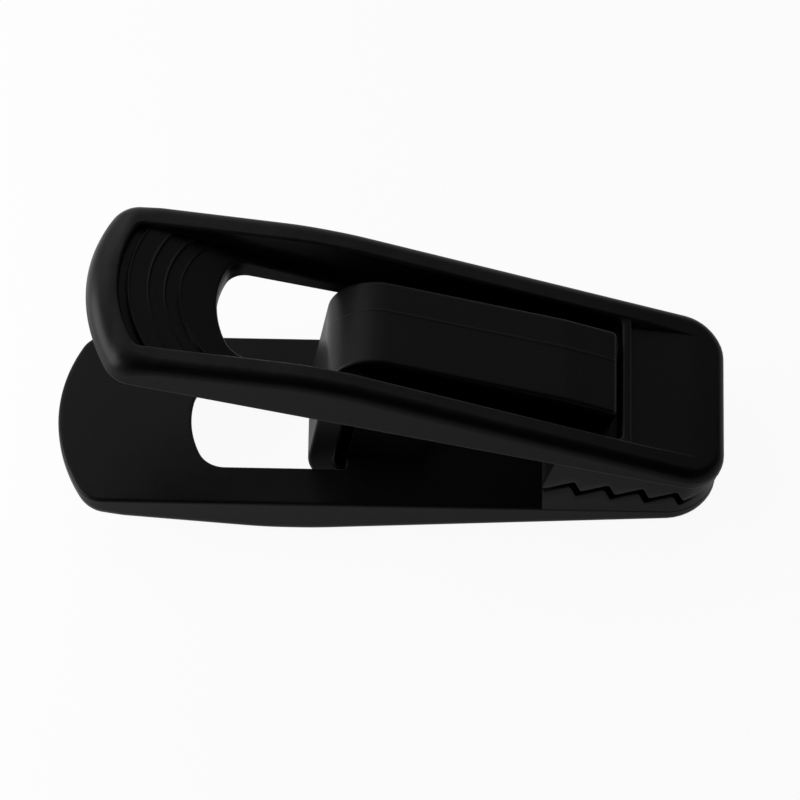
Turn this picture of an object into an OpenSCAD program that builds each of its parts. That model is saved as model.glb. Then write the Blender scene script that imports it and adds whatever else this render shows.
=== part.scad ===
// Pinch clip for slim hangers: two moulded arms rock on a half-round fulcrum, and a thick moulded
// U spring, threaded through both arms, holds the toothed jaws shut.
// Each arm is drawn with its handle end at x = 0, its flat inner face at z = 0 and its body below.

/* [Arms] */
// Length of each arm, handle end to jaw tip
arm_l = 64; // [60:0.5:76]
// Width of each arm
arm_w = 19.8; // [18.6:0.2:25]
// Distance between the inner faces at the handle ends
handle_gap = 20.6; // [18:0.2:24]
// Distance between the inner faces at the jaw tips
jaw_gap = 2.6; // [2.2:0.1:3.6]
// Radius of the curved handle end
end_r = 17.6; // [15:0.1:30]
// Corner radius beside the handle end
end_corner_r = 2.75; // [2.4:0.05:3.6]
// Corner radius at the jaw tip
tip_corner_r = 4.2; // [2.5:0.1:6]

/* [Rim] */
// Width of the side rims
rim_w = 2.7; // [2.3:0.1:3.4]
// Width of the rim round the handle end
end_rim_w = 2.45; // [2.2:0.05:3]
// Rim height over the inner face at the handle end
rim_handle_h = 2.6; // [2.5:0.05:3.4]
// Height where the two straight rim lines would cross
rim_peak_h = 5.2; // [4.6:0.1:6]
// Rim height over the inner face at the jaw tip
rim_tip_h = 1.65; // [1.55:0.05:2]
// Distance of the rim's highest part from the handle end
rim_peak_u = 22.5; // [18:0.5:27]
// Radius that blends the two rim lines
rim_peak_r = 36; // [20:1:60]
// Rounding of the rim's outer edge
rim_round = 2.2; // [1:0.1:2.2]
// Rounding of the jaw tip's outer edge
tip_round = 1.1; // [0.5:0.1:1.2]
// Rounding round the edge of the inner face
edge_round = 0.3; // [0.1:0.05:0.35]

/* [Recess] */
// Thickness of the floor where the thumb rest begins
thumb_floor = 2.75; // [2.5:0.05:2.9]
// Thickness of the floor under the spring's legs
pocket_floor = 1.1; // [0.9:0.05:1.5]
// Thickness of the floor behind the jaw tip
jaw_floor = 1.9; // [1.7:0.05:2.2]
// Corner radius of the recess at the handle end
recess_corner_r = 2; // [1:0.1:3]

/* [Thumb steps] */
// Distance of the step arcs' common centre from the handle end
step_centre_u = 17.3; // [17:0.1:18]
// Radius of the innermost step arc
step_r = 8.8; // [8.2:0.1:9.2]
// Width of the innermost terrace
step_w = 1.2; // [0.8:0.1:1.4]
// Extra width of each next terrace
step_grow = 0.5; // [0:0.1:0.6]
// Number of terraces
step_count = 3; // [1:1:3]
// Thickness of the floor at the lowest terrace and in the groove behind the highest
step_floor = 2.4; // [2.1:0.05:2.5]
// Height of one step
step_h = 0.2; // [0.1:0.05:0.25]

/* [Window] */
// Width of the window through each arm
window_w = 11.2; // [10.4:0.1:12.5]
// Distance of the window from the handle end, at the inner face
window_u = 13; // [12:0.1:14]
// Radius of the window's curved handle end
window_end_r = 10; // [8:0.5:16]
// Corner radius beside the window's handle end
window_corner_r = 2.6; // [1:0.1:3.6]
// Outward lean of the window's handle end, in degrees
window_lean = 13; // [0:1:16]

/* [Crossbar] */
// Distance from the crossbar's jaw side to the jaw tip
bar_tip_l = 9.9; // [8:0.1:13]
// Thickness of the crossbar
bar_t = 0.8; // [0.6:0.1:1.5]
// Height of the crossbar over the inner face
bar_h = 2.45; // [2.2:0.05:2.5]

/* [Spring] */
// Width of the spring band
band_w = 9.7; // [8:0.1:10]
// Thickness of the spring band
band_t = 2.6; // [2:0.1:3]
// Radius inside the two bends
bend_in_r = 2; // [1:0.1:2.5]
// Angle between a leg and its arm, in degrees
leg_slope = 1.4; // [0.8:0.1:2]
// Length of the tapered end of a leg
leg_taper_l = 5.5; // [3:0.1:8]
// Thickness that a leg loses in its tapered end
leg_taper = 0.5; // [0.4:0.05:0.8]
// Rounding of the outer edge at a leg's end
leg_tip_r = 0.6; // [0.2:0.1:1]
// Room between a leg's end and the crossbar
leg_end_clear = 0.8; // [0.3:0.05:1.2]
// Room between a leg's end and the pocket floor
leg_seat_clear = 0.03; // [0.02:0.01:0.1]

/* [Fulcrum] */
// Distance of the fulcrum axis from the handle end
fulcrum_u = 32.5; // [31.5:0.5:35]
// Length of the fulcrum across the clip
fulcrum_l = 8; // [6:0.5:14]
// Radius of the half-round bead on the upper arm
bead_r = 2; // [1.6:0.1:2.4]
// Running room between the bead and its saddle
bead_clear = 0.05; // [0.02:0.01:0.1]
// Wall of the saddle beside the bead
saddle_wall = 1.5; // [1:0.1:2]
// Drop of the saddle's lips below the fulcrum axis
lip_drop = 0.5; // [0.3:0.1:0.6]
// Jaw opening angle at which the bead's shoulder meets the saddle
stop_angle = 19; // [17:0.5:22]
// Room between the saddle and the spring's back
back_clear = 1.25; // [1:0.05:2]

/* [Jaws] */
// Distance from a jaw pad's back end to the jaw tip
pad_l = 16.95; // [14:0.05:18]
// Step from an arm's edge in to the side of its jaw pad
pad_inset = 0.25; // [0.1:0.05:0.5]
// Number of teeth on each jaw
tooth_count = 5; // [3:1:5]
// Distance from one tooth to the next
tooth_pitch = 3.35; // [2.6:0.05:3.6]
// Height of a tooth
tooth_h = 1.5; // [0.8:0.1:1.8]
// Length of a tooth's steep side
tooth_drop = 0.8; // [0.4:0.1:1.2]
// Gap between the meshing teeth
tooth_gap = 0.5; // [0.4:0.05:0.8]

/* [Hidden] */
$fn = 64;
hull_fn = 32;
arc_steps = 6;
curve_steps = 16;
// Depth to which pads and ribs are let into their arm
sink = 0.6;
// Reach of cuts that run clear of everything
far = 40;

// The arms are mirror images across a middle plane, and their inner faces meet at a vertex beyond the jaws.
half_angle = asin((handle_gap - jaw_gap) / 2 / arm_l);
vertex_u = arm_l * handle_gap / (handle_gap - jaw_gap);

// Middle-plane place of a point on an arm: s runs from the vertex to the handles, h off the middle plane.
function mid_point(u, w) = let (a = vertex_u - u)
    [a * cos(half_angle) - w * sin(half_angle), a * sin(half_angle) + w * cos(half_angle)];
// A run of points turned back on itself, on the other side of the middle.
function mirrored(run) = [for (i = [len(run) - 1 : -1 : 0]) [run[i][0], -run[i][1]]];
// Distance of an arm's inner face from the middle plane.
function inner_h(s) = s * tan(half_angle);

// Rim: slope angles of its two straight lines, and the arc that blends them.
handle_slope = atan((rim_peak_h - rim_handle_h) / rim_peak_u);
jaw_slope = atan((rim_peak_h - rim_tip_h) / (arm_l - rim_peak_u));
mean_slope = (handle_slope - jaw_slope) / 2;
peak_reach = rim_peak_r / cos((handle_slope + jaw_slope) / 2);
peak_centre = [rim_peak_u, rim_peak_h] + peak_reach * [sin(mean_slope), -cos(mean_slope)];
function handle_rim_h(u) = rim_handle_h + u * tan(handle_slope);
function jaw_rim_h(u) = rim_tip_h + (arm_l - u) * tan(jaw_slope);
function peak_point(a) = peak_centre + rim_peak_r * [sin(a), cos(a)];

// Recess, thumb rest, crossbar, window and fulcrum along the arm.
recess_w = arm_w - 2 * rim_w;
bar_jaw_u = arm_l - bar_tip_l;
bar_u = bar_jaw_u - bar_t;
thumb_u = step_centre_u - step_r;
function step_arc_r(i) = step_r + i * step_w + step_grow * i * (i - 1) / 2;
fulcrum_s = (vertex_u - fulcrum_u) / cos(half_angle);
saddle_half = bead_r + saddle_wall;
saddle_s = fulcrum_s + saddle_half;
stop_h = (saddle_half * sin(stop_angle) - lip_drop) / cos(stop_angle);
window_end_u = vertex_u - saddle_s / cos(half_angle) - sink * sin(half_angle);

// Spring: outer corner of a leg's end before its taper, the back and the centre of the upper bend.
leg_angle = half_angle + leg_slope;
leg_end_u = bar_u - leg_end_clear;
leg_end_w = pocket_floor + leg_seat_clear + band_t / cos(leg_slope);
leg_end = mid_point(leg_end_u, leg_end_w);
leg_taper_angle = atan(leg_taper / leg_taper_l);
bend_out_r = bend_in_r + band_t;
back_s = saddle_s + back_clear + band_t;
bend_s = back_s - bend_out_r;
bend_h = leg_end[1] + (bend_s - leg_end[0]) * tan(leg_angle) - bend_out_r / cos(leg_angle);
leg_run = (bend_s - leg_end[0]) * cos(leg_angle) + (bend_h - leg_end[1]) * sin(leg_angle);

// Jaw pads along the middle plane.
tip_s = (vertex_u - arm_l) / cos(half_angle);
saw_s = tip_s + tooth_count * tooth_pitch;
pad_s = max(saw_s, tip_s + pad_l) + sink;
valley_h = -(tooth_h + tooth_gap) / 2;

// Rest: the clip lies on the highest part of the lower rims and where the lower leg's taper begins.
rest_centre = peak_centre + [end_corner_r - rim_round, 0];
rest_edge = [leg_end_u, leg_end_w] + leg_taper_l * [-cos(leg_slope), sin(leg_slope)];
rest_reach = rest_edge - rest_centre;
rest_tilt = atan2(rest_reach[0], rest_reach[1]) - acos(rim_peak_r / norm(rest_reach));
rest_h = rest_centre * [sin(rest_tilt), cos(rest_tilt)] + rim_peak_r + rim_round * (1 - cos(rest_tilt));

// The origin lies halfway between the lower arm's handle end and the upper arm's tip.
upper_tilt = 2 * half_angle + rest_tilt;
upper_tip = [arm_l - vertex_u, jaw_rim_h(arm_l - tip_round)] - [tip_round, tip_round];
upper_tip_x = vertex_u * cos(rest_tilt) + upper_tip * [cos(upper_tilt), sin(upper_tilt)] + tip_round;
lower_end_w = handle_rim_h(end_corner_r) - rim_round;
lower_end_x = -lower_end_w * sin(rest_tilt) - rim_round * (1 - cos(rest_tilt));
rest_x = -(upper_tip_x + lower_end_x) / 2;

// Places things drawn on the middle plane, with the vertex at the origin, where the clip lies at rest.
module at_rest() {
    translate([rest_x, 0, rest_h]) rotate([0, rest_tilt, 0]) translate([vertex_u, 0, 0])
        rotate([0, half_angle, 0]) children();
}

// Brings a lower arm to the middle plane.
module on_mid_plane() {
    rotate([0, -half_angle, 0]) translate([-vertex_u, 0, 0]) children();
}

// Prism across the clip from points [s, h].
module across(points, width) {
    rotate([90, 0, 0]) linear_extrude(width, center = true) polygon([for (p = points) [-p[0], p[1]]]);
}

// Round block of radius r hanging h below the inner face, rounded at both ends.
module puck(u, v, r, h, top) {
    translate([u, v, 0]) rotate_extrude($fn = hull_fn) polygon(concat(
        [[0, 0]],
        [for (i = [0 : arc_steps / 2]) let (a = 180 * i / arc_steps)
            [r - edge_round + edge_round * sin(a), -edge_round + edge_round * cos(a)]],
        [for (i = [0 : arc_steps]) let (a = 90 * i / arc_steps)
            [r - top + top * cos(a), top - h - top * sin(a)]],
        [[0, -h]]
    ));
}

// Whole outer form of an arm, without its recess.
module arm_form() {
    corner_run = end_r - end_corner_r;
    corner_v = arm_w / 2 - end_corner_r;
    corner_angle = asin(corner_v / corner_run);
    peak_turn = handle_slope + jaw_slope;
    hull() {
        for (i = [-3 : 3]) let (a = corner_angle * i / 3, u = end_r - corner_run * cos(a))
            puck(u, corner_run * sin(a), end_corner_r, handle_rim_h(u), rim_round);
        for (side = [-1, 1], i = [0 : 4]) let (p = peak_point(peak_turn * i / 4 - handle_slope))
            puck(p[0], side * corner_v, end_corner_r, p[1], rim_round);
        for (side = [-1, 1])
            puck(arm_l - tip_corner_r, side * (arm_w / 2 - tip_corner_r), tip_corner_r,
                 jaw_rim_h(arm_l - tip_round), tip_round);
    }
}

// Length of a curved end, from its middle to where the sides run straight.
function round_end_l(arc_r, corner_r, width) =
    arc_r - sqrt(pow(arc_r - corner_r, 2) - pow(width / 2 - corner_r, 2));

// Points of an arc, without its two ends.
function arc_between(centre, r, from, to) = [for (i = [1 : curve_steps - 1])
    let (a = from + (to - from) * i / curve_steps) centre + r * [cos(a), sin(a)]];

// Outline with a curved end at x = 0 and round corners, square at its right end.
module round_end(arc_r, corner_r, width, length) {
    corner = [round_end_l(arc_r, corner_r, width), width / 2 - corner_r];
    turn = 180 - asin(corner[1] / (arc_r - corner_r));
    upper = concat(
        [[length, width / 2], [corner[0], width / 2]],
        arc_between(corner, corner_r, 90, turn),
        [[arc_r, 0] + arc_r * [cos(turn), sin(turn)]]
    );
    end = arc_between([arc_r, 0], arc_r, turn, 360 - turn);
    polygon(concat(upper, end, mirrored(upper)));
}

// Room over the sloping thumb rest, the spring's pocket, the crossbar and the jaw floor.
module floor_room() {
    rotate([90, 0, 0]) linear_extrude(arm_w, center = true) polygon([
        [0, -thumb_floor], [thumb_u, -thumb_floor], [window_end_u, -pocket_floor], [bar_u, -pocket_floor],
        [bar_u, -bar_h], [bar_jaw_u, -bar_h], [bar_jaw_u, -jaw_floor], [arm_l + far, -jaw_floor],
        [arm_l + far, -far], [0, -far]
    ]);
}

// Ring of room over one terrace, between two step arcs and down to a floor thickness.
module terrace_room(in_r, out_r, floor_t) {
    translate([step_centre_u, 0, -far]) linear_extrude(far - floor_t) difference() {
        circle(out_r);
        circle(in_r);
        translate([0, -far]) square(2 * far);
    }
}

// Room cut from an arm's outer side.
module recess_room() {
    intersection() {
        translate([end_rim_w, 0, -far]) linear_extrude(far)
            round_end(end_r - end_rim_w, recess_corner_r, recess_w, arm_l);
        union() {
            difference() {
                floor_room();
                translate([0, -far, -far]) cube([step_centre_u, 2 * far, far]);
            }
            intersection() {
                floor_room();
                translate([step_centre_u, 0, -far]) cylinder(far, r = step_r);
            }
            for (i = [0 : step_count - 1])
                terrace_room(step_arc_r(i), step_arc_r(i + 1), step_floor + i * step_h);
            terrace_room(step_arc_r(step_count), far, step_floor);
        }
    }
}

// Window through an arm: a curved end that leans to the handle, square where the spring's back passes.
module window_room() {
    side_l = round_end_l(window_end_r, window_corner_r, window_w);
    side_u = window_u + side_l / cos(window_lean);
    translate([window_u, 0, 0]) rotate([0, window_lean, 0]) linear_extrude(2 * far, center = true)
        round_end(window_end_r, window_corner_r, window_w, side_l + rim_peak_h);
    translate([side_u, -window_w / 2, -far]) cube([window_end_u - side_u, window_w, 2 * far]);
}

// Plain arm: rim, floor, steps, crossbar and window.
module arm_shell() {
    on_mid_plane() difference() {
        arm_form();
        recess_room();
        window_room();
    }
}

// Outline of a jaw pad with its round tip corners, as a prism square to the arm.
module pad_prism() {
    corner_r = tip_corner_r - pad_inset;
    side_w = arm_w - 2 * tip_corner_r;
    pad_w = arm_w - 2 * pad_inset;
    on_mid_plane() translate([arm_l - pad_l, 0, -far / 2]) linear_extrude(far) {
        translate([0, -pad_w / 2]) square([pad_l - tip_corner_r, pad_w]);
        translate([0, -side_w / 2]) square([pad_l - pad_inset, side_w]);
        for (side = [-1, 1]) translate([pad_l - tip_corner_r, side * side_w / 2]) circle(corner_r);
    }
}

// Saw line of the lower jaw, raised by lift: each tooth climbs towards the tip and drops.
function saw_line(lift) = concat(
    [[pad_s, valley_h + lift]],
    [for (i = [0 : tooth_count - 1], crest = [0, 1]) let (s = saw_s - i * tooth_pitch)
        [s - crest * (tooth_pitch - tooth_drop), valley_h + crest * tooth_h + lift]],
    [[tip_s, valley_h + lift], [tip_s - sink, valley_h + lift]]
);

// Jaw pad below a saw line.
module jaw_pad(line) {
    low_s = tip_s - sink;
    intersection() {
        across(concat(line, [[low_s, -inner_h(low_s) - sink], [pad_s, -inner_h(pad_s) - sink]]), arm_w);
        pad_prism();
    }
}

// Rib from an arm's inner face to a height below the middle plane, centred on the fulcrum.
// Its jaw side is square to the arm, so that a bar lies flat against its foot.
module fulcrum_rib(top_h) {
    low_s = fulcrum_s - saddle_half;
    side_l = (inner_h(low_s) - top_h) * cos(half_angle) + sink;
    across([[saddle_s, -top_h], [low_s, -top_h],
            [low_s - side_l * sin(half_angle), -top_h - side_l * cos(half_angle)],
            [saddle_s, -inner_h(saddle_s) - sink]], fulcrum_l);
}

// Round bar along the fulcrum axis.
module fulcrum_round(r, length) {
    translate([-fulcrum_s, 0, 0]) rotate([90, 0, 0]) cylinder(length, r = r, center = true);
}

// Middle-plane points of the spring's upper half: along a leg from its bend's centre, and round the bend.
function leg_point(x, out) = [bend_s - x * cos(leg_angle) - out * sin(leg_angle),
                              bend_h - x * sin(leg_angle) + out * cos(leg_angle)];
function bend_run(r) = [for (i = [0 : curve_steps]) let (a = 180 - (90 + leg_angle) * i / curve_steps)
    [bend_s - r * cos(a), bend_h + r * sin(a)]];

// Outer side of the upper half, from the back round the bend to the leg's tapered and rounded end.
function spring_outer() = let (
    end_out = bend_out_r - leg_taper,
    round_drop = leg_tip_r * (1 / cos(leg_taper_angle) - tan(leg_taper_angle)),
    turn = 90 - leg_taper_angle
) concat(
    bend_run(bend_out_r),
    [leg_point(leg_run - leg_taper_l, bend_out_r)],
    [for (i = [0 : arc_steps]) let (a = turn * (1 - i / arc_steps))
        leg_point(leg_run - leg_tip_r * (1 - cos(a)), end_out - round_drop + leg_tip_r * sin(a))],
    [leg_point(leg_run, bend_in_r)]
);

module lower_arm() {
    color("#1d1d1f") at_rest() {
        arm_shell();
        jaw_pad(saw_line(0));
        difference() {
            fulcrum_rib(lip_drop);
            fulcrum_round(bead_r + bead_clear, 2 * fulcrum_l);
        }
    }
}

module upper_arm() {
    color("#1b1b1d") at_rest() {
        mirror([0, 0, 1]) {
            arm_shell();
            jaw_pad([for (p = saw_line(tooth_gap)) [p[0], -p[1]]]);
            fulcrum_rib(stop_h);
        }
        fulcrum_round(bead_r, fulcrum_l);
    }
}

module u_spring() {
    outer = concat(mirrored(spring_outer()), spring_outer());
    inner = concat(mirrored(bend_run(bend_in_r)), bend_run(bend_in_r));
    color("#161617") at_rest() across(concat(outer, [for (p = inner) [p[0], -p[1]]]), band_w);
}

lower_arm();
upper_arm();
u_spring();
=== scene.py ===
"""Looks of a pinch clip for slim hangers: two moulded arms and the thick moulded U spring that joins them.

Sizes are in millimetres in each arm's own frame (u from the handle end to the jaw tip, v across, w outwards from the
flat inner face) or in the middle-plane frame (s from the vertex beyond the jaws, h off the middle plane). ClipFrame
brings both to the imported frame, in metres.
"""

import logging
import math
from dataclasses import dataclass, field
from enum import Enum

import bpy
import numpy as np
from mathutils import Matrix, Vector


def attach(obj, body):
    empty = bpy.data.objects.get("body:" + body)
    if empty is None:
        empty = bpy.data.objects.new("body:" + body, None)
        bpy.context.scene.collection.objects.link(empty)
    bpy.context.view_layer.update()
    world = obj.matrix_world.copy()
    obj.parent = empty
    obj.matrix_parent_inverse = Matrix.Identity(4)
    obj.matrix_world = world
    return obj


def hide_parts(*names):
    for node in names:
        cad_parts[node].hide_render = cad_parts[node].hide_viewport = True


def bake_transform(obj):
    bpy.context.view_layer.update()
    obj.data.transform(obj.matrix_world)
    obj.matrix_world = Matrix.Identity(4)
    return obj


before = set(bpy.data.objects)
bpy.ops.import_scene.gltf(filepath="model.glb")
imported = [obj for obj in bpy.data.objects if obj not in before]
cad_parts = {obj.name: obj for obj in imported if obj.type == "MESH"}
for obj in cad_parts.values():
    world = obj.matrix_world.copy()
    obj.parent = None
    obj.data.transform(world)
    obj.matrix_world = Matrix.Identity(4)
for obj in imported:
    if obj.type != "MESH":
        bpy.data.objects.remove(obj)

Array = np.ndarray
Place = tuple[float, float, float]
Socket = bpy.types.NodeSocket
Tree = bpy.types.NodeTree
log = logging.getLogger("pinch_clip")

SHARP = math.radians(38)  # faces that meet at a wider angle keep a sharp edge
HAIR = 0.01  # mm by which hidden faces are kept apart


class Side(Enum):
    """Which side of the middle plane an arm lies on."""

    LOWER = -1
    UPPER = 1


class Channel(Enum):
    """Kinds of value that a node group takes in or puts out."""

    COLOUR = "NodeSocketColor"
    VALUE = "NodeSocketFloat"
    VECTOR = "NodeSocketVector"


# ---- surfaces


@dataclass
class Shell:
    """One closed surface.

    Attributes:
        points: Corner points in metres, one row each.
        quads: Four corner numbers for each face of the grid.
        caps: Corner numbers of the flat end faces.
        edge: How much painted highlight each corner gets on rounded edges and rim tops, 0 to 1.
    """

    points: Array
    quads: Array
    caps: list[list[int]]
    edge: Array

    def facing_out(self) -> "Shell":
        """Turns all faces round where the enclosed volume comes out negative, and returns the shell."""
        p = self.points - self.points.mean(0)
        tris = [self.quads[:, [0, 1, 2]], self.quads[:, [0, 2, 3]]]
        tris += [np.array([[c[0], c[i], c[i + 1]] for i in range(1, len(c) - 1)]) for c in self.caps]
        a, b, c = (p[np.concatenate(tris)][:, k] for k in range(3))
        if np.einsum("ij,ij->", a, np.cross(b, c)) < 0:
            self.quads = self.quads[:, ::-1]
            self.caps = [cap[::-1] for cap in self.caps]
        return self


def ring_shell(rings: Array, edge: Array, endless: bool) -> Shell:
    """Closed surface over a grid: ring i joins ring i + 1, and each ring closes on itself.

    Args:
        rings: Points, as (ring, place on the ring, xyz).
        edge: Edge mask, as (ring, place on the ring) or anything that spreads to it.
        endless: True where the last ring joins the first; else both ends get a flat cap.

    Returns:
        The shell, with its faces pointing outwards.
    """
    n, m = rings.shape[:2]
    rows = np.arange(n if endless else n - 1)[:, None]
    cols = np.arange(m)[None, :]
    nxt_row, nxt_col = (rows + 1) % n, (cols + 1) % m
    quads = np.stack([rows * m + cols, rows * m + nxt_col, nxt_row * m + nxt_col, nxt_row * m + cols], -1)
    last = (n - 1) * m
    caps = [] if endless else [list(range(m))[::-1], list(range(last, last + m))]
    mask = np.broadcast_to(edge, (n, m)).reshape(-1).astype(np.float32)
    return Shell(rings.reshape(-1, 3), quads.reshape(-1, 4), caps, mask).facing_out()


def quarter(steps: int) -> Array:
    """Angles from 0 to a quarter turn."""
    return np.linspace(0, math.pi / 2, steps)


def soften(path: Array, reach: float, steps: int = 5, closed: bool = True) -> Array:
    """Rounds the corners of a flat run of points.

    Each corner P between neighbours becomes the curve (1-t)^2 A + 2t(1-t) P + t^2 C, where A and C lie up to `reach`
    away from P on its two sides.

    Args:
        path: Points, as (n, 2).
        reach: Length given up on each side of a corner.
        steps: Points on each rounded corner.
        closed: False for an open run, whose two ends stay as they are.

    Returns:
        The rounded run.
    """
    largest = 0.48
    ways = [np.roll(path, step, 0) - path for step in (1, -1)]
    lengths = [np.linalg.norm(way, axis=1, keepdims=True) for way in ways]
    a, c = (path + way / length * np.minimum(reach, largest * length) for way, length in zip(ways, lengths))
    t = np.linspace(0, 1, steps)[None, :, None]
    run = ((1 - t) ** 2 * a[:, None] + 2 * t * (1 - t) * path[:, None] + t**2 * c[:, None]).reshape(-1, 2)
    return run if closed else np.concatenate([path[:1], run[steps:-steps], path[-1:]])


def capped(rows: Array, cap: Array) -> Array:
    """Rows with the first and last row of `cap` before and after them."""
    return np.concatenate([cap[:1], rows, cap[-1:]])


def smooth_step(x: Array, half: float) -> Array:
    """0 below -half, 1 above +half, and the cubic 3t^2 - 2t^3 between them."""
    t = np.clip((x + half) / (2 * half), 0, 1)
    return t * t * (3 - 2 * t)


def loop_normals(loop: Array) -> Array:
    """Unit normals of a closed flat loop: the step between a point's neighbours, turned a quarter to the left."""
    d = np.roll(loop, -1, 0) - np.roll(loop, 1, 0)
    d /= np.linalg.norm(d, axis=1, keepdims=True)
    return np.stack([-d[:, 1], d[:, 0]], 1)


def inset_loop(loop: Array, depth: float) -> Array:
    """Moves each point of a closed flat loop inwards by depth, whichever way the loop runs."""
    x, y = loop.T
    turn = np.sign(np.sum(x * np.roll(y, -1) - np.roll(x, -1) * y))
    return loop + turn * depth * loop_normals(loop)


def put(name: str, data: bpy.types.ID) -> bpy.types.Object:
    """Makes an object of the given data and links it to the scene."""
    made = bpy.data.objects.new(name, data)
    bpy.context.scene.collection.objects.link(made)
    return made


def piece_from(name: str, shells: list[Shell], finish: bpy.types.Material) -> bpy.types.Object:
    """Joins closed shells into one smooth-shaded mesh object at the origin.

    Args:
        name: Name of the piece.
        shells: Closed surfaces that overlap where the real moulding is one body.
        finish: Material of the whole piece.

    Returns:
        The new object, with the edge mask as the point attribute "edge".
    """
    starts = np.cumsum([0] + [len(s.points) for s in shells])
    faces: list[list[int]] = []
    for shell, start in zip(shells, starts):
        faces += (shell.quads + start).tolist() + [[i + int(start) for i in cap] for cap in shell.caps]
    mesh = bpy.data.meshes.new(name)
    mesh.from_pydata(np.concatenate([s.points for s in shells]).tolist(), [], faces)
    mesh.polygons.foreach_set("use_smooth", np.ones(len(mesh.polygons), dtype=bool))
    mesh.set_sharp_from_angle(angle=SHARP)
    mask = mesh.attributes.new("edge", "FLOAT", "POINT")
    mask.data.foreach_set("value", np.concatenate([s.edge for s in shells]))
    mesh.materials.append(finish)
    return put(name, mesh)


# ---- the clip's frame


@dataclass(frozen=True)
class ClipFrame:
    """Where the arms lie: mirror images across a middle plane, tipped as the clip rests on its lower rims."""

    arm_l: float = 64.0
    handle_gap: float = 20.6
    jaw_gap: float = 2.6
    rest_tilt: float = math.radians(2.94621)
    rest_x: float = -32.3223
    rest_h: float = 6.27876

    @property
    def half_angle(self) -> float:
        """Angle between an arm's inner face and the middle plane."""
        return math.asin((self.handle_gap - self.jaw_gap) / 2 / self.arm_l)

    @property
    def vertex_u(self) -> float:
        """Distance from the handle end to where the two inner faces would meet."""
        return self.arm_l * self.handle_gap / (self.handle_gap - self.jaw_gap)

    def inner_h(self, s: float) -> float:
        """Distance of an inner face from the middle plane."""
        return s * math.tan(self.half_angle)

    def middle(self, s: Array, v: Array, h: Array) -> Array:
        """Middle-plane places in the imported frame: turned by half the arms' angle and the rest tilt, then lifted.

        Args:
            s: Distances from the vertex towards the handles, in mm.
            v: Places across the clip, in mm.
            h: Heights over the middle plane, in mm.

        Returns:
            Points in metres, with xyz last.
        """
        c, n = math.cos(self.half_angle), math.sin(self.half_angle)
        x, z = self.vertex_u - s * c + h * n, s * n + h * c
        ct, st = math.cos(self.rest_tilt), math.sin(self.rest_tilt)
        x, z = self.rest_x + x * ct + z * st, self.rest_h - x * st + z * ct
        return np.stack(np.broadcast_arrays(x, v, z), -1) / 1000

    def arm(self, side: Side, u: Array, v: Array, w: Array) -> Array:
        """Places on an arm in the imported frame, by way of the middle plane.

        Args:
            side: The arm.
            u: Distances from its handle end, in mm.
            v: Places across it, in mm.
            w: Heights outwards from its inner face, in mm.

        Returns:
            Points in metres, with xyz last.
        """
        c, n = math.cos(self.half_angle), math.sin(self.half_angle)
        a = self.vertex_u - u
        return self.middle(a * c - w * n, v, side.value * (a * n + w * c))

    def own(self, side: Side, s: Array, h: Array) -> tuple[Array, Array]:
        """An arm's own (u, w) of middle-plane places (s, h)."""
        c, n = math.cos(self.half_angle), math.sin(self.half_angle)
        return self.vertex_u - s * c - side.value * h * n, side.value * h * c - s * n


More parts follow.
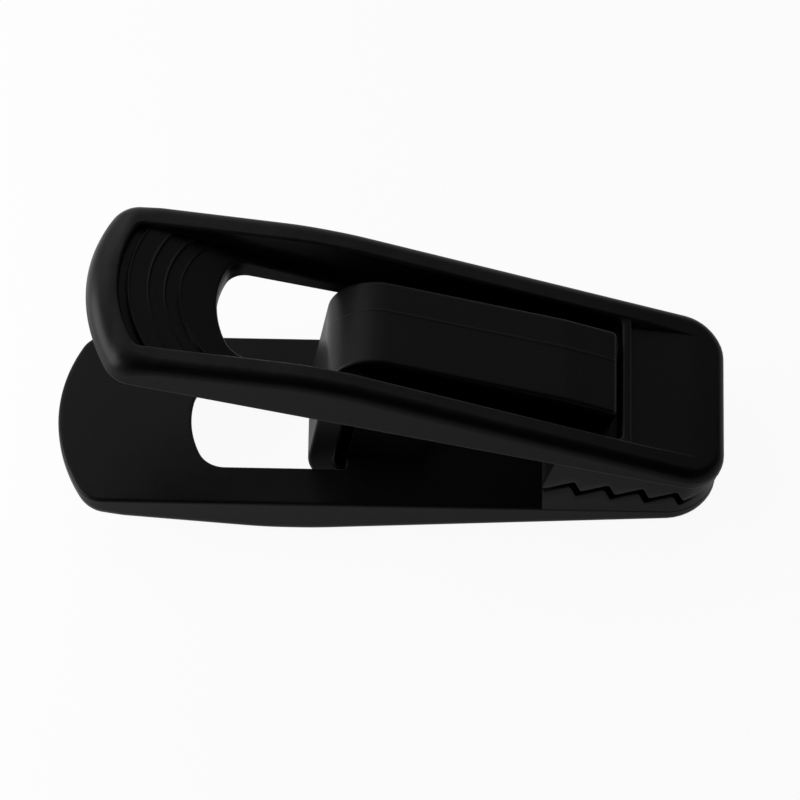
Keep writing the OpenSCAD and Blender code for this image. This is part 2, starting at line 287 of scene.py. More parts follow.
@dataclass(frozen=True)
class RoundEnd:
    """Outline with a curved end, round corners, straight sides and a squarer far end.

    Attributes:
        start: Place of the curved end's middle.
        arc_r: Radius of the curved end.
        corner_r: Radius of the corners beside it.
        half_w: Half the width.
        tip: Place of the far end.
        tip_r: Radius of the far corners.
    """

    start: float
    arc_r: float
    corner_r: float
    half_w: float
    tip: float
    tip_r: float

    @property
    def corner(self) -> tuple[float, float]:
        """Centre of the corner beside the curved end."""
        v = self.half_w - self.corner_r
        return self.start + self.arc_r - math.sqrt((self.arc_r - self.corner_r) ** 2 - v**2), v

    @property
    def turn(self) -> float:
        """Direction in which the corner meets the curved end."""
        return math.pi - math.asin(self.corner[1] / (self.arc_r - self.corner_r))

    def loop(self, counts: tuple[int, int, int, int, int], crowd: float) -> Array:
        """The outline as a closed run, with the same number of points on matching stretches of any outline.

        The half run goes from the middle of the far end along its line, its corner, the side (places crowd towards the
        curved end as 1 - (1 - q)^crowd), the near corner and the curved end; its mirror image brings it back.

        Args:
            counts: Points on the five stretches.
            crowd: How much the side's points crowd towards the curved end.

        Returns:
            Points (u, v), as (n, 2).
        """
        line, far, side, near, end = (np.linspace(0, 1, n, endpoint=False) for n in counts)
        cu, cv = self.corner
        tu, tv = self.tip - self.tip_r, self.half_w - self.tip_r
        q = 1 - (1 - side) ** crowd
        far_a, near_a = far * math.pi / 2, math.pi / 2 + near * (self.turn - math.pi / 2)
        end_a = self.turn + np.append(end, 1.0) * (math.pi - self.turn)
        u = np.concatenate([np.full(len(line), self.tip), tu + self.tip_r * np.cos(far_a), tu + q * (cu - tu),
                            cu + self.corner_r * np.cos(near_a), self.start + self.arc_r * (1 + np.cos(end_a))])
        v = np.concatenate([line * tv, tv + self.tip_r * np.sin(far_a), np.full(len(side), self.half_w),
                            cv + self.corner_r * np.sin(near_a), self.arc_r * np.sin(end_a)])
        half = np.stack([u, v], 1)
        return np.concatenate([half, half[-2:0:-1] * [1, -1]])

    def inset(self, u: Array, v: Array) -> Array:
        """Distance of places inside the outline from it.

        The least of the distances to the sides, the far end and the curved end, or the distance to a corner's arc where
        a place lies in that corner's own sector.

        Args:
            u: Places along the outline.
            v: Places across it.

        Returns:
            The distances.
        """
        across, middle = np.abs(v), self.start + self.arc_r
        plain = np.minimum(self.half_w - across, self.tip - u)
        plain = np.where(u > middle, plain, np.minimum(plain, self.arc_r - np.hypot(u - middle, v)))
        tu, tv = self.tip - self.tip_r, self.half_w - self.tip_r
        plain = np.where((u > tu) & (across > tv), self.tip_r - np.hypot(u - tu, across - tv), plain)
        cu, cv = self.corner
        bearing = np.arctan2(across - cv, u - cu)
        near = (bearing > math.pi / 2) & (bearing < self.turn) & (across > cv)
        return np.where(near, self.corner_r - np.hypot(u - cu, across - cv), plain)


# ---- finishes


def fill(tree: Tree, node: bpy.types.Node, inputs: dict[str | int, object]) -> None:
    """Fills a node's inputs: a socket is linked, and any other value is set.

    Args:
        tree: The nodes that it belongs to.
        node: The node.
        inputs: Sockets or values, by the name or number of the input.
    """
    for label, value in inputs.items():
        if isinstance(value, Socket):
            tree.links.new(value, node.inputs[label])
        else:
            node.inputs[label].default_value = value


def add_node(tree: Tree, kind: str, inputs: dict[str | int, object], **options: object) -> bpy.types.NodeOutputs:
    """Adds a node, sets its options and then fills its inputs.

    Args:
        tree: The nodes to add to.
        kind: Type of the node.
        inputs: Sockets or values, by the name or number of the input.
        options: Values of the node's own options.

    Returns:
        The node's outputs.
    """
    node = tree.nodes.new(kind)
    for name, value in options.items():
        setattr(node, name, value)
    fill(tree, node, inputs)
    return node.outputs


@dataclass(frozen=True)
class PlasticFinish:
    """Near-black moulded plastic.

    Attributes:
        name: Name of the material.
        dark: Colour in the hollows of the grain.
        pale: Colour on the crests of the grain.
        edge_highlight: Painted highlight colour on rounded edges and rim tops.
        rough: Lowest and highest roughness.
        edge_rough: Roughness on the same rounded edges and rim tops.
        grain: Grains to the metre.
        depth: Depth of the grain, in metres.
        specular: Specular level of the shader.
    """

    name: str
    dark: Place
    pale: Place
    edge_highlight: Place
    rough: tuple[float, float]
    edge_rough: float
    grain: float
    depth: float
    specular: float

    def material(self, groups: "FinishGroups") -> bpy.types.Material:
        """Builds the material: grain on Object coordinates, then painted edge highlight and polish from the piece's own
        edge mask.

        Args:
            groups: The shared node groups.

        Returns:
            The material.
        """
        made = bpy.data.materials.new(self.name)
        made.use_nodes = True
        tree = made.node_tree
        place = add_node(tree, "ShaderNodeTexCoord", {})["Object"]
        mask = add_node(tree, "ShaderNodeAttribute", {}, attribute_name="edge")["Fac"]
        grain = add_node(tree, "ShaderNodeGroup", {
            "Place": place, "Dark": (*self.dark, 1), "Pale": (*self.pale, 1), "Smoothest": self.rough[0],
            "Roughest": self.rough[1], "Scale": self.grain}, node_tree=groups.grain)
        edge = add_node(tree, "ShaderNodeGroup", {
            "Colour": grain["Colour"], "Roughness": grain["Roughness"], "Edge": mask, "Place": place,
            "Highlight": (*self.edge_highlight, 1), "Polish": self.edge_rough}, node_tree=groups.edge)
        bump = add_node(tree, "ShaderNodeBump", {"Distance": self.depth, "Height": grain["Height"]})
        fill(tree, tree.nodes["Principled BSDF"], {
            "Base Color": edge["Colour"], "Roughness": edge["Roughness"], "Normal": bump["Normal"],
            "Specular IOR Level": self.specular})
        return made


class FinishGroups:
    """Node groups that the plastics share: the moulded grain, and the painted highlight and polish of edges and rim
    tops.
    """

    def __init__(self) -> None:
        """Builds both groups once."""
        self.grain = self._grain()
        self.edge = self._edge_highlight()

    @staticmethod
    def _tree(name: str, takes: dict[str, Channel], gives: dict[str, Channel]) -> tuple[Tree, bpy.types.NodeOutputs]:
        """Makes a node group with named sockets.

        Args:
            name: Name of the group.
            takes: Names and kinds of its inputs.
            gives: Names and kinds of its outputs.

        Returns:
            The group, and the sockets inside it that bring its inputs.
        """
        tree = bpy.data.node_groups.new(name, "ShaderNodeTree")
        for way, sockets in (("INPUT", takes), ("OUTPUT", gives)):
            for label, kind in sockets.items():
                tree.interface.new_socket(label, in_out=way, socket_type=kind.value)
        return tree, add_node(tree, "NodeGroupInput", {})

    @staticmethod
    def _noise(tree: Tree, place: Socket, scale: Socket | float, detail: float, rough: float) -> Socket:
        """Adds a noise texture on given places.

        Args:
            tree: The group's nodes.
            place: Socket that gives the places.
            scale: Scale of the noise.
            detail: Octaves.
            rough: Weight of the finer octaves.

        Returns:
            The noise's value.
        """
        inputs = {"Vector": place, "Scale": scale, "Detail": detail, "Roughness": rough}
        return add_node(tree, "ShaderNodeTexNoise", inputs)["Fac"]

    def _grain(self) -> Tree:
        """Fine moulded grain over broad, faint flow clouds.

        Returns:
            A group that gives a colour, a roughness and a height.
        """
        tree, takes = self._tree(
            "moulded_grain",
            {"Place": Channel.VECTOR, "Dark": Channel.COLOUR, "Pale": Channel.COLOUR, "Smoothest": Channel.VALUE,
             "Roughest": Channel.VALUE, "Scale": Channel.VALUE},
            {"Colour": Channel.COLOUR, "Roughness": Channel.VALUE, "Height": Channel.VALUE})
        fine = self._noise(tree, takes["Place"], takes["Scale"], detail=3.0, rough=0.6)
        clouds = self._noise(tree, takes["Place"], scale=160.0, detail=4.0, rough=0.55)
        share = add_node(tree, "ShaderNodeMix", {"Factor": 0.45, "A": fine, "B": clouds})["Result"]
        spread = add_node(tree, "ShaderNodeMapRange", {"Value": share, "From Min": 0.34, "From Max": 0.66})["Result"]
        colour = add_node(tree, "ShaderNodeMix", {"Factor": spread, "A": takes["Dark"], "B": takes["Pale"]},
                          data_type="RGBA")["Result"]
        rough = add_node(tree, "ShaderNodeMapRange", {
            "Value": clouds, "From Min": 0.3, "From Max": 0.7, "To Min": takes["Smoothest"],
            "To Max": takes["Roughest"]})["Result"]
        add_node(tree, "NodeGroupOutput", {"Colour": colour, "Roughness": rough, "Height": fine})
        return tree

    def _edge_highlight(self) -> Tree:
        """Painted highlight on rounded edges and rim tops: paler and smoother where the edge mask is high, in faint
        patches.

        Returns:
            A group that gives a colour and a roughness.
        """
        tree, takes = self._tree(
            "edge_highlight_polish",
            {"Colour": Channel.COLOUR, "Roughness": Channel.VALUE, "Edge": Channel.VALUE, "Place": Channel.VECTOR,
             "Highlight": Channel.COLOUR, "Polish": Channel.VALUE},
            {"Colour": Channel.COLOUR, "Roughness": Channel.VALUE})
        patches = self._noise(tree, takes["Place"], scale=420.0, detail=3.0, rough=0.6)
        spread = add_node(tree, "ShaderNodeMapRange", {
            "Value": patches, "From Min": 0.3, "From Max": 0.65, "To Min": 0.6})["Result"]
        mask = add_node(tree, "ShaderNodeMath", {0: takes["Edge"], 1: spread}, operation="MULTIPLY")["Value"]
        # painted highlight: the paler colour goes where the edge mask is high
        colour = add_node(tree, "ShaderNodeMix", {"Factor": mask, "A": takes["Colour"], "B": takes["Highlight"]},
                          data_type="RGBA")["Result"]
        rough = add_node(tree, "ShaderNodeMix", {
            "Factor": mask, "A": takes["Roughness"], "B": takes["Polish"]})["Result"]
        add_node(tree, "NodeGroupOutput", {"Colour": colour, "Roughness": rough})
        return tree


# the edge colour is a painted highlight for rounded edges and rim tops
ARM_PLASTIC = PlasticFinish("arm_plastic_matte_black", dark=(0.0038, 0.0036, 0.0044), pale=(0.0066, 0.0063, 0.0074),
                            edge_highlight=(0.026, 0.0249, 0.0276), rough=(0.32, 0.39), edge_rough=0.3, grain=5200.0,
                            depth=1.2e-5, specular=0.1)
SPRING_PLASTIC = PlasticFinish("spring_plastic_matte_black", dark=(0.0038, 0.0037, 0.0046),
                               pale=(0.0066, 0.0064, 0.0078), edge_highlight=(0.0094, 0.0092, 0.0108), rough=(0.34, 0.41),
                               edge_rough=0.34, grain=4600.0, depth=1.2e-5, specular=0.12)


# ---- arms


@dataclass
class Arm:
    """One moulded arm: rim, thumb rest with curved steps, window, pocket, crossbar, jaw floor, pad and fulcrum.

    A name's ending says what it is: u a place along the arm, w a width, h a height, l a length, r or round a radius.
    """

    side: Side
    clip: ClipFrame
    body: str
    node: str
    # outline, recess and window
    half_w: float = 9.9
    end_arc_r: float = 17.6
    end_corner_r: float = 2.75
    tip_short: float = 0.15
    tip_corners: tuple[float, float] = (4.2, 4.8)
    rim_w: float = 2.7
    end_rim_w: float = 2.45
    recess_corner_r: float = 1.2
    recess_tip_r: float = 0.5
    window_u: float = 13.0
    window_end_u: float = 28.0585
    window_half_w: float = 5.6
    window_arc_r: float = 10.0
    window_corner_r: float = 2.6
    window_tip_r: float = 0.4
    window_lean: float = math.radians(13)
    window_round: float = 0.3
    window_soft: float = 0.2
    # rim and recess wall
    rim_handle_h: float = 2.6
    rim_peak_h: float = 5.2
    rim_tip_h: float = 1.65
    rim_peak_u: float = 22.5
    rim_peak_r: float = 36.0
    crest_flat: float = 0.55
    tip_level: float = 1.1
    round_u: tuple[float, ...] = (2.4, 6.5, 26.0, 60.0)
    round_r: tuple[float, ...] = (2.2, 1.4, 1.4, 1.2)
    edge_round: float = 0.3
    draft: float = math.radians(2.5)
    lip_round: float = 0.28
    foot_round: float = 0.3
    wall_share: float = 0.45
    wall_least: float = 0.03
    wall_slant: float = 0.04
    # painted highlight on rim tops and edges: strength, where the rim's fades out, and the angle and span over which it
    # comes up round the rim
    rim_highlight: float = 0.8
    lip_highlight: float = 0.5
    highlight_fade_u: tuple[float, float] = (40.0, 57.0)
    highlight_from: float = 0.9
    highlight_span: float = 0.5
    # floor
    thumb_floor: float = 2.75
    pocket_floor: float = 1.1
    jaw_floor: float = 2.0
    jaw_fall: float = 0.3
    runout_ease: float = 0.1
    step_centre_u: float = 17.3
    step_arcs: tuple[float, ...] = (8.8, 10.0, 11.7, 13.9)
    step_floor: float = 2.4
    step_h: float = 0.2
    step_soft: float = 0.075
    bead_h: float = 0.05
    bead_w: float = 0.1
    bead_off: float = 1.3
    # crossbar
    bar_jaw_u: float = 54.1
    bar_t: float = 0.95
    bar_h: float = 2.45
    bar_flare: float = 0.75
    bar_foot: float = 0.3
    bar_brow: float = 0.26
    bar_jaw_foot: float = 0.15
    bar_low: float = 0.7
    bar_hide: float = 0.1
    # jaw pad
    pad_l: float = 16.95
    pad_inset: float = 0.04
    pad_ease: float = 0.14
    pad_brow: float = 0.12
    pad_cap: float = 0.97
    tooth_count: int = 5
    tooth_pitch: float = 3.35
    tooth_h: float = 1.5
    tooth_drop: float = 0.8
    tooth_gap: float = 0.5
    tooth_round: float = 0.3
    tooth_ease: float = 0.16
    tooth_set: float = 0.15
    # fulcrum
    fulcrum_u: float = 32.5
    fulcrum_l: float = 8.0
    fulcrum_round: float = 0.25
    fulcrum_ease: float = 0.1
    fulcrum_cap: float = 0.02
    bead_r: float = 2.0
    bead_clear: float = 0.05
    saddle_wall: float = 1.5
    lip_drop: float = 0.5
    stop_angle: float = math.radians(19)
    sink: float = 0.6
    # points along the outlines, and rings over the floor
    counts: tuple[int, int, int, int, int] = (16, 10, 104, 16, 26)
    crowd: float = 1.35
    step_rows: int = 21
    step_reach: float = 0.32
    floor_radii: tuple[float, float, float] = (4.4, 15.2, 0.26)
    arcs_end_u: float = 14.7
    arcs_fade: float = 1.6
    squeeze: float = 0.03
    outline: RoundEnd = field(init=False)

    def __post_init__(self) -> None:
        """Sets the outer outline; the lower arm stops a little short of the upper one's tip."""
        lower = self.side is Side.LOWER
        tip = self.clip.arm_l - (self.tip_short if lower else 0)
        self.outline = RoundEnd(0.0, self.end_arc_r, self.end_corner_r, self.half_w, tip, self.tip_corners[lower])

    # -- heights

    def rim_slopes(self) -> tuple[float, float]:
        """Slope angles of the rim's two straight lines."""
        rise = self.rim_peak_h - self.rim_handle_h
        fall = self.rim_peak_h - self.rim_tip_h
        return math.atan(rise / self.rim_peak_u), math.atan(fall / (self.clip.arm_l - self.rim_peak_u))

    def rim_height(self, u: Array) -> Array:
        """Height of the rim's top along the arm: a line up, a blending arc with a short level crest, and a line down.

        Args:
            u: Places along the arm.

        Returns:
            Heights over the inner face.
        """
        steps = 12
        up, down = self.rim_slopes()
        mean, reach = (up - down) / 2, self.rim_peak_r / math.cos((up + down) / 2)
        a = np.concatenate([np.linspace(-up, 0, steps), np.linspace(0, down, steps)])
        level = np.repeat([-self.crest_flat, self.crest_flat], steps)
        crest_u = self.rim_peak_u + reach * math.sin(mean) + self.rim_peak_r * np.sin(a) + level
        crest_h = self.rim_peak_h - reach * math.cos(mean) + self.rim_peak_r * np.cos(a)
        near, tip = self.outline.corner_r, self.clip.arm_l - self.tip_level
        run_u = np.concatenate([[near - self.crest_flat], crest_u, [tip]])
        run_h = np.concatenate([[self.rim_handle_h + near * math.tan(up)], crest_h,
                                [self.rim_tip_h + self.tip_level * math.tan(down)]])
        return np.interp(u, run_u, run_h)

    def rounding(self, u: Array) -> Array:
        """Radius of the rim's outer rounding: fullest at the handle end, and tightening again towards the jaw tip."""
        return np.interp(u, self.round_u, self.round_r)

    def drawn(self, u: Array) -> Array:
        """How far the mould's draft has drawn the side in where the rim's rounding starts."""
        return math.tan(self.draft) * np.maximum(self.rim_height(u) - self.rounding(u) - self.edge_round, 0)

    def form_height(self, u: Array, v: Array) -> Array:
        """Height of the outer form: the rim's less the drop r - sqrt(r^2 - (r - d)^2) at distance d inside the side."""
        drawn = self.drawn(u)
        r = self.rounding(u) - drawn
        d = np.clip(self.outline.inset(u, v) - drawn, 0, r)
        return self.rim_height(u) - r + np.sqrt(np.maximum(r**2 - (r - d) ** 2, 0))

    def floor_height(self, u: Array, v: Array) -> Array:
        """Height of the recess floor over the inner face.

        Along the arm a level thumb rest slopes down to the pocket, and past the crossbar the jaw floor stands higher,
        climbs a little and eases into the falling rim by min(a, b) - max(k - |a - b|, 0)^2 / 4k; behind the step arcs,
        terraces rise one step at a time and fall into a groove beside the end rim. Each crest carries a fine bead,
        h exp(-(x / w)^2).

        Args:
            u: Places along the arm.
            v: Places across it.

        Returns:
            Heights.
        """
        bar_u = self.bar_jaw_u - self.bar_t
        plain = np.interp(u, [self.step_centre_u - self.step_arcs[0], self.window_end_u, bar_u + self.bar_hide,
                              self.bar_jaw_u - self.bar_hide, self.runout()],
                          [self.thumb_floor, self.pocket_floor, self.pocket_floor, self.jaw_floor - self.jaw_fall,
                           self.jaw_floor])
        rim = self.rim_height(u)
        ease = np.maximum(self.runout_ease - np.abs(rim - plain), 0) ** 2 / (4 * self.runout_ease)
        plain = np.where(u > self.bar_jaw_u, np.minimum(plain, rim) - ease, plain)
        r = np.hypot(u - self.step_centre_u, v)
        a, b, c, d = (smooth_step(r - arc, self.step_soft) for arc in self.step_arcs)
        steps = self.step_floor + self.step_h * (b + c) - 2 * self.step_h * d
        crests = np.array(self.step_arcs) + self.bead_off * self.bead_w * np.array([-1, 1, 1, -1])
        beads = self.bead_h * np.exp(-(((r[..., None] - crests) / self.bead_w) ** 2)).sum(-1)
        return np.where(u < self.step_centre_u, plain + (steps - plain) * a + beads, plain)

    def runout(self) -> float:
        """Place where the recess wall has run out on the falling rim."""
        u = np.linspace(self.bar_jaw_u, self.clip.arm_l - self.tip_level, 2000)
        return float(np.interp(self.runout_ease - self.jaw_floor, -self.rim_height(u), u))

    # -- shells

    def place(self, u: Array, v: Array, w: Array) -> Array:
        """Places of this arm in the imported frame."""
        return self.clip.arm(self.side, u, v, w)

    def floor_shares(self, start: Array, stop: Array) -> Array:
        """Where the floor's rings cross each line from the recess wall to the window, so that rings follow the steps.

        At the handle end ring k lies at its own radius R_k about the steps' centre c: on the line p + t d the share is
        the nearer root of |p + t d - c| = R_k, held between two rising limits. Elsewhere the rings are evenly spaced,
        and the two blend over a short stretch of the sides.

        Args:
            start: Places at the wall, as (n, 2).
            stop: Places at the window, as (n, 2).

        Returns:
            Shares t from 0 to 1, as (ring, place on the ring).
        """
        near_steps = np.linspace(-self.step_reach, self.step_reach, self.step_rows)
        radii = np.concatenate([*[arc + near_steps for arc in self.step_arcs], np.arange(*self.floor_radii)])
        radii = np.sort(radii)[::-1, None]
        rise = np.arange(1, len(radii) + 1)[:, None] / (len(radii) + 1)
        d, p = stop - start, start - [self.step_centre_u, 0]
        a, b, c = (d**2).sum(1), (d * p).sum(1), (p**2).sum(1) - radii**2
        root = (-b - np.sqrt(np.maximum(b**2 - a * c, 0))) / a
        arcs = np.clip(root, self.squeeze * rise, 1 - self.squeeze * (1 - rise))
        return rise + (arcs - rise) * smooth_step(self.arcs_end_u - start[:, 0], self.arcs_fade)

    def moulding(self) -> Shell:
        """The arm's main surface, a closed ring round the window.

        The profile runs from the window over the inner face, round its edge, up the side, over the rim's rounding and
        top, down the recess wall, over the floor and through the window's wall back to the start. It is carried round
        three outlines with matching points: the arm's, the recess's and the window's.

        Returns:
            The shell.
        """
        recess = RoundEnd(self.end_rim_w, self.outline.arc_r - self.end_rim_w, self.recess_corner_r,
                          self.outline.half_w - self.rim_w, self.runout(), self.recess_tip_r)
        window = RoundEnd(0.0, self.window_arc_r, self.window_corner_r, self.window_half_w,
                          (self.window_end_u - self.window_u) * math.cos(self.window_lean), self.window_tip_r)
        outer, wall = self.outline.loop(self.counts, self.crowd), recess.loop(self.counts, self.crowd)
        gap = window.loop(self.counts, 1.0)
        lean = np.interp(gap[:, 0], [window.corner[0], window.tip - 1.0], [1.0, 0.0]) * math.tan(self.window_lean)
        gap[:, 0] = self.window_u + gap[:, 0] / math.cos(self.window_lean)
        inward, away = loop_normals(wall), -loop_normals(gap)
        depth = self.outline.inset(*wall.T)
        # painted highlight on the rim tops: full at the handle end, fading out towards the jaw tip
        rim_highlight_mask = self.rim_highlight * np.interp(outer[:, 0], self.highlight_fade_u, [1.0, 0.0])
        rows: list[Array] = []
        masks: list[Array] = []

        def add(plan: Array, height: Array, mask: Array | float = 0.0) -> None:
            """Adds one ring from plan places, heights and edge mask."""
            rows.append(np.column_stack([plan, np.broadcast_to(height, len(plan))]))
            masks.append(np.broadcast_to(mask, len(plan)))

        def across(d: Array) -> Array:
            """Plan places at distance d inside the arm's outline, towards the recess wall."""
            return outer + (wall - outer) * (np.broadcast_to(d, len(outer)) / depth)[:, None]

        def leant(w: Array) -> Array:
            """Plan shift of the leaning window wall at height w."""
            return np.column_stack([lean * w, 0 * lean])

        # inner face, its edge and the side
        edge, soft, brim = self.edge_round, self.window_soft, self.window_round
        inner_start, inner_end = gap + away * soft, across(edge)
        for t in (0.0, 0.02, 0.34, 0.67, 0.985):
            add(inner_start + (inner_end - inner_start) * t, 0.0)
        for a in quarter(6):
            add(across(edge * (1 - math.sin(a))), edge * (1 - math.cos(a)))
        side_top = self.form_height(*outer.T)
        r, drawn = self.rounding(outer[:, 0]), self.drawn(outer[:, 0])
        for t in (0.05, 0.5, 0.95):
            add(across(drawn * t), edge + (side_top - edge) * t)

        # the rim's rounding, top and lip, with a painted highlight from partway round the rounding
        for a in quarter(14):
            plan = across(drawn + (r - drawn) * (1 - math.cos(a)))
            add(plan, self.form_height(*plan.T), rim_highlight_mask * min(max(a - self.highlight_from, 0) / self.highlight_span, 1))
        top, floor = self.rim_height(wall[:, 0]), self.floor_height(*wall.T)
        stand = self.wall_share * np.maximum(top - floor, 0)
        lip, foot = np.minimum(self.lip_round, stand), np.minimum(self.foot_round, stand)
        lip_x, foot_x = np.maximum(lip, self.wall_least), np.maximum(foot, self.wall_least)
        for t in (0.05, 0.35, 0.65, 0.95):
            plan = across(r + (depth - lip_x - r) * t)
            add(plan, self.form_height(*plan.T), rim_highlight_mask)
        for a in quarter(6):
            plan = across(depth - lip_x * (1 - math.sin(a)))
            # painted highlight line along the recess lip
            lip_highlight_mask = self.lip_highlight * max(math.sin(2 * a), 0) ** 0.5
            add(plan, self.rim_height(plan[:, 0]) - lip * (1 - math.cos(a)), np.maximum(lip_highlight_mask, rim_highlight_mask * math.cos(a)))

        # recess wall and its foot
        for t in (0.04, 0.5, 0.96):
            add(wall + inward * (self.wall_slant * t), top - lip + (floor + foot - top + lip) * t)
        for a in quarter(6):
            plan = wall + inward * (self.wall_slant + foot_x * (1 - np.cos(a)))[:, None]
            low = self.floor_height(*plan.T)
            add(plan, np.minimum(low + foot * (1 - math.sin(a)), np.maximum(top, low)))

        # floor
        start = rows[-1][:, :2]
        rim_of_gap = gap - leant(self.floor_height(*gap.T))
        stop = rim_of_gap + away * brim
        for t in self.floor_shares(start, stop):
            plan = start + (stop - start) * t[:, None]
            add(plan, self.floor_height(*plan.T))

        # the window's brim, wall and inner edge
        level = self.floor_height(*rim_of_gap.T)
        # painted highlight line along the window's brim
        for a in quarter(6):
            plan = rim_of_gap + away * (brim * (1 - math.sin(a)))
            add(plan, self.floor_height(*plan.T) - brim * (1 - math.cos(a)), self.lip_highlight * math.sin(2 * a))
        for t in (0.04, 0.5, 0.96):
            w = (level - brim) * (1 - t) + soft * t
            add(gap - leant(w), w)
        # painted highlight line along the window's inner edge
        for a in quarter(5)[:-1]:
            w = soft * (1 - math.sin(a))
            add(gap + away * (soft * (1 - math.cos(a))) - leant(w), w, math.sin(2 * a))
        grid = np.stack(rows)
        return ring_shell(self.place(*np.moveaxis(grid, -1, 0)), np.stack(masks), True)

    def crossbar(self) -> Shell:
        """The bar that closes the pocket: a rounded wall section carried across the recess.

        Its pocket side flares by r - sqrt(r^2 - x^2) over the last r before each rim; a hollow foot joins the floor.

        Returns:
            The shell.
        """
        plain_from, reach = 2.0, self.outline.half_w - self.rim_w
        v = np.concatenate([[-reach - self.sink], -reach + self.bar_flare * (1 - np.cos(quarter(9))),
                            np.linspace(-reach + plain_from, 0, 8)])
        v = np.concatenate([v, -v[-2::-1]])
        x = np.clip(np.abs(v) - (reach - self.bar_flare), 0, self.bar_flare)
        flare = self.bar_flare - np.sqrt(np.maximum(self.bar_flare**2 - x**2, 0))
        a, foot, brow, jaw_foot = quarter(6), self.bar_foot, self.bar_brow, self.bar_jaw_foot
        pocket, jaw, low = self.bar_jaw_u - self.bar_t, self.bar_jaw_u, self.jaw_floor - self.jaw_fall
        section = np.concatenate([
            np.stack([pocket - foot + foot * np.sin(a), self.pocket_floor - HAIR + foot * (1 - np.cos(a))], 1),
            np.stack([pocket + brow * (1 - np.cos(a)), self.bar_h - brow * (1 - np.sin(a))], 1),
            np.stack([jaw - brow * (1 - np.sin(a)), self.bar_h - brow * (1 - np.cos(a))], 1),
            np.stack([jaw + jaw_foot * (1 - np.cos(a)), low - HAIR + jaw_foot * (1 - np.sin(a))], 1),
            [[jaw + self.bar_hide, self.bar_low], [pocket - foot + self.bar_hide, self.bar_low]]])
        # painted highlight lines on the bar's two brows
        mask = np.concatenate([0 * a, np.sin(2 * a), np.sin(2 * a), 0 * a, [0, 0]])
        share = np.repeat([1, 0, 1], [2 * len(a), 2 * len(a) + 1, 1])
        u = section[None, :, 0] - flare[:, None] * share[None, :]
        return ring_shell(self.place(u, v[:, None], section[None, :, 1]), mask[None, :], False)

    def saw(self) -> tuple[Array, Array]:
        """Tooth line of this arm's pad: each tooth climbs towards the tip and drops, its corners and flanks eased.

        Returns:
            Places u along the arm and heights w, below zero because the teeth stand on the inner side.
        """
        lead, tail = 2.0, 1.0
        tip_s = (self.clip.vertex_u - self.clip.arm_l) / math.cos(self.clip.half_angle)
        low = -(self.tooth_h + self.tooth_gap) / 2 + (self.tooth_gap if self.side is Side.UPPER else 0)
        start = tip_s + self.tooth_count * self.tooth_pitch - np.arange(self.tooth_count) * self.tooth_pitch
        s = np.stack([start, start - self.tooth_pitch + self.tooth_drop], 1).reshape(-1)
        h = np.tile([low, low + self.tooth_h], self.tooth_count)
        s = np.concatenate([[start[0] + lead], s, [tip_s, tip_s - tail]])
        h = np.concatenate([[low], h, [low, low]])
        ease = self.tooth_ease * self.side.value
        run = soften(np.stack([s + self.tooth_set - ease, h + ease], 1), self.tooth_round, 6, closed=False)
        return self.clip.own(self.side, run[:, 0], run[:, 1])

    def jaw_pad(self) -> Shell:
        """The toothed pad: a rectangle section carried along the arm under the saw line, narrowing round the tip.

        Half the width is w/2 up to the corners and then the corner arc's own half width, and the section draws in by a
        small round at both ends.

        Returns:
            The shell.
        """
        saw_u, saw_w = self.saw()
        tip, back = self.outline.tip - self.pad_inset, self.clip.arm_l - self.pad_l
        corner_r = self.outline.tip_r - self.pad_inset
        corner_u = self.outline.tip - self.outline.tip_r
        ease, brow, waist, a = self.pad_ease, self.pad_brow, 0.6, quarter(5)
        u = np.unique(np.round(np.concatenate([
            back + ease * (1 - np.cos(a)), saw_u[(saw_u > back + ease) & (saw_u < tip - ease)],
            corner_u + corner_r * np.sin(quarter(14)), tip - ease * (1 - np.cos(a))]), 5))
        x = np.clip(u - corner_u, 0, corner_r)
        near = np.clip(np.minimum(u - back, tip - u), 0, ease)
        draw = ease - np.sqrt(ease**2 - (ease - near) ** 2)
        half = self.outline.half_w - self.outline.tip_r + np.sqrt(np.maximum(corner_r**2 - x**2, 0)) - draw
        top = np.interp(u, saw_u, saw_w) + draw
        flat = np.linspace(-1, 1, 9)[1:-1]
        v = np.concatenate([
            [half, half], *[[half - brow * (1 - math.cos(k))] for k in a], *[[-(half - brow) * f] for f in flat],
            *[[-half + brow * (1 - math.cos(k))] for k in a[::-1]], [-half, -half]]).T
        w = np.concatenate([
            [0 * u + self.sink, waist * top], *[[top + brow * (1 - math.sin(k))] for k in a], *[[top] for _ in flat],
            *[[top + brow * (1 - math.sin(k))] for k in a[::-1]], [waist * top, 0 * u + self.sink]]).T
        cap_v, cap_w = v * self.pad_cap, (w - self.sink) * self.pad_cap + self.sink - HAIR
        # painted highlight lines on the pad's brows
        mask = np.concatenate([[0, 0], np.sin(2 * a), 0 * flat, np.sin(2 * a), [0, 0]])
        points = self.place(capped(u, u)[:, None], capped(v, cap_v), capped(w, cap_w))
        return ring_shell(points, mask[None, :], False)

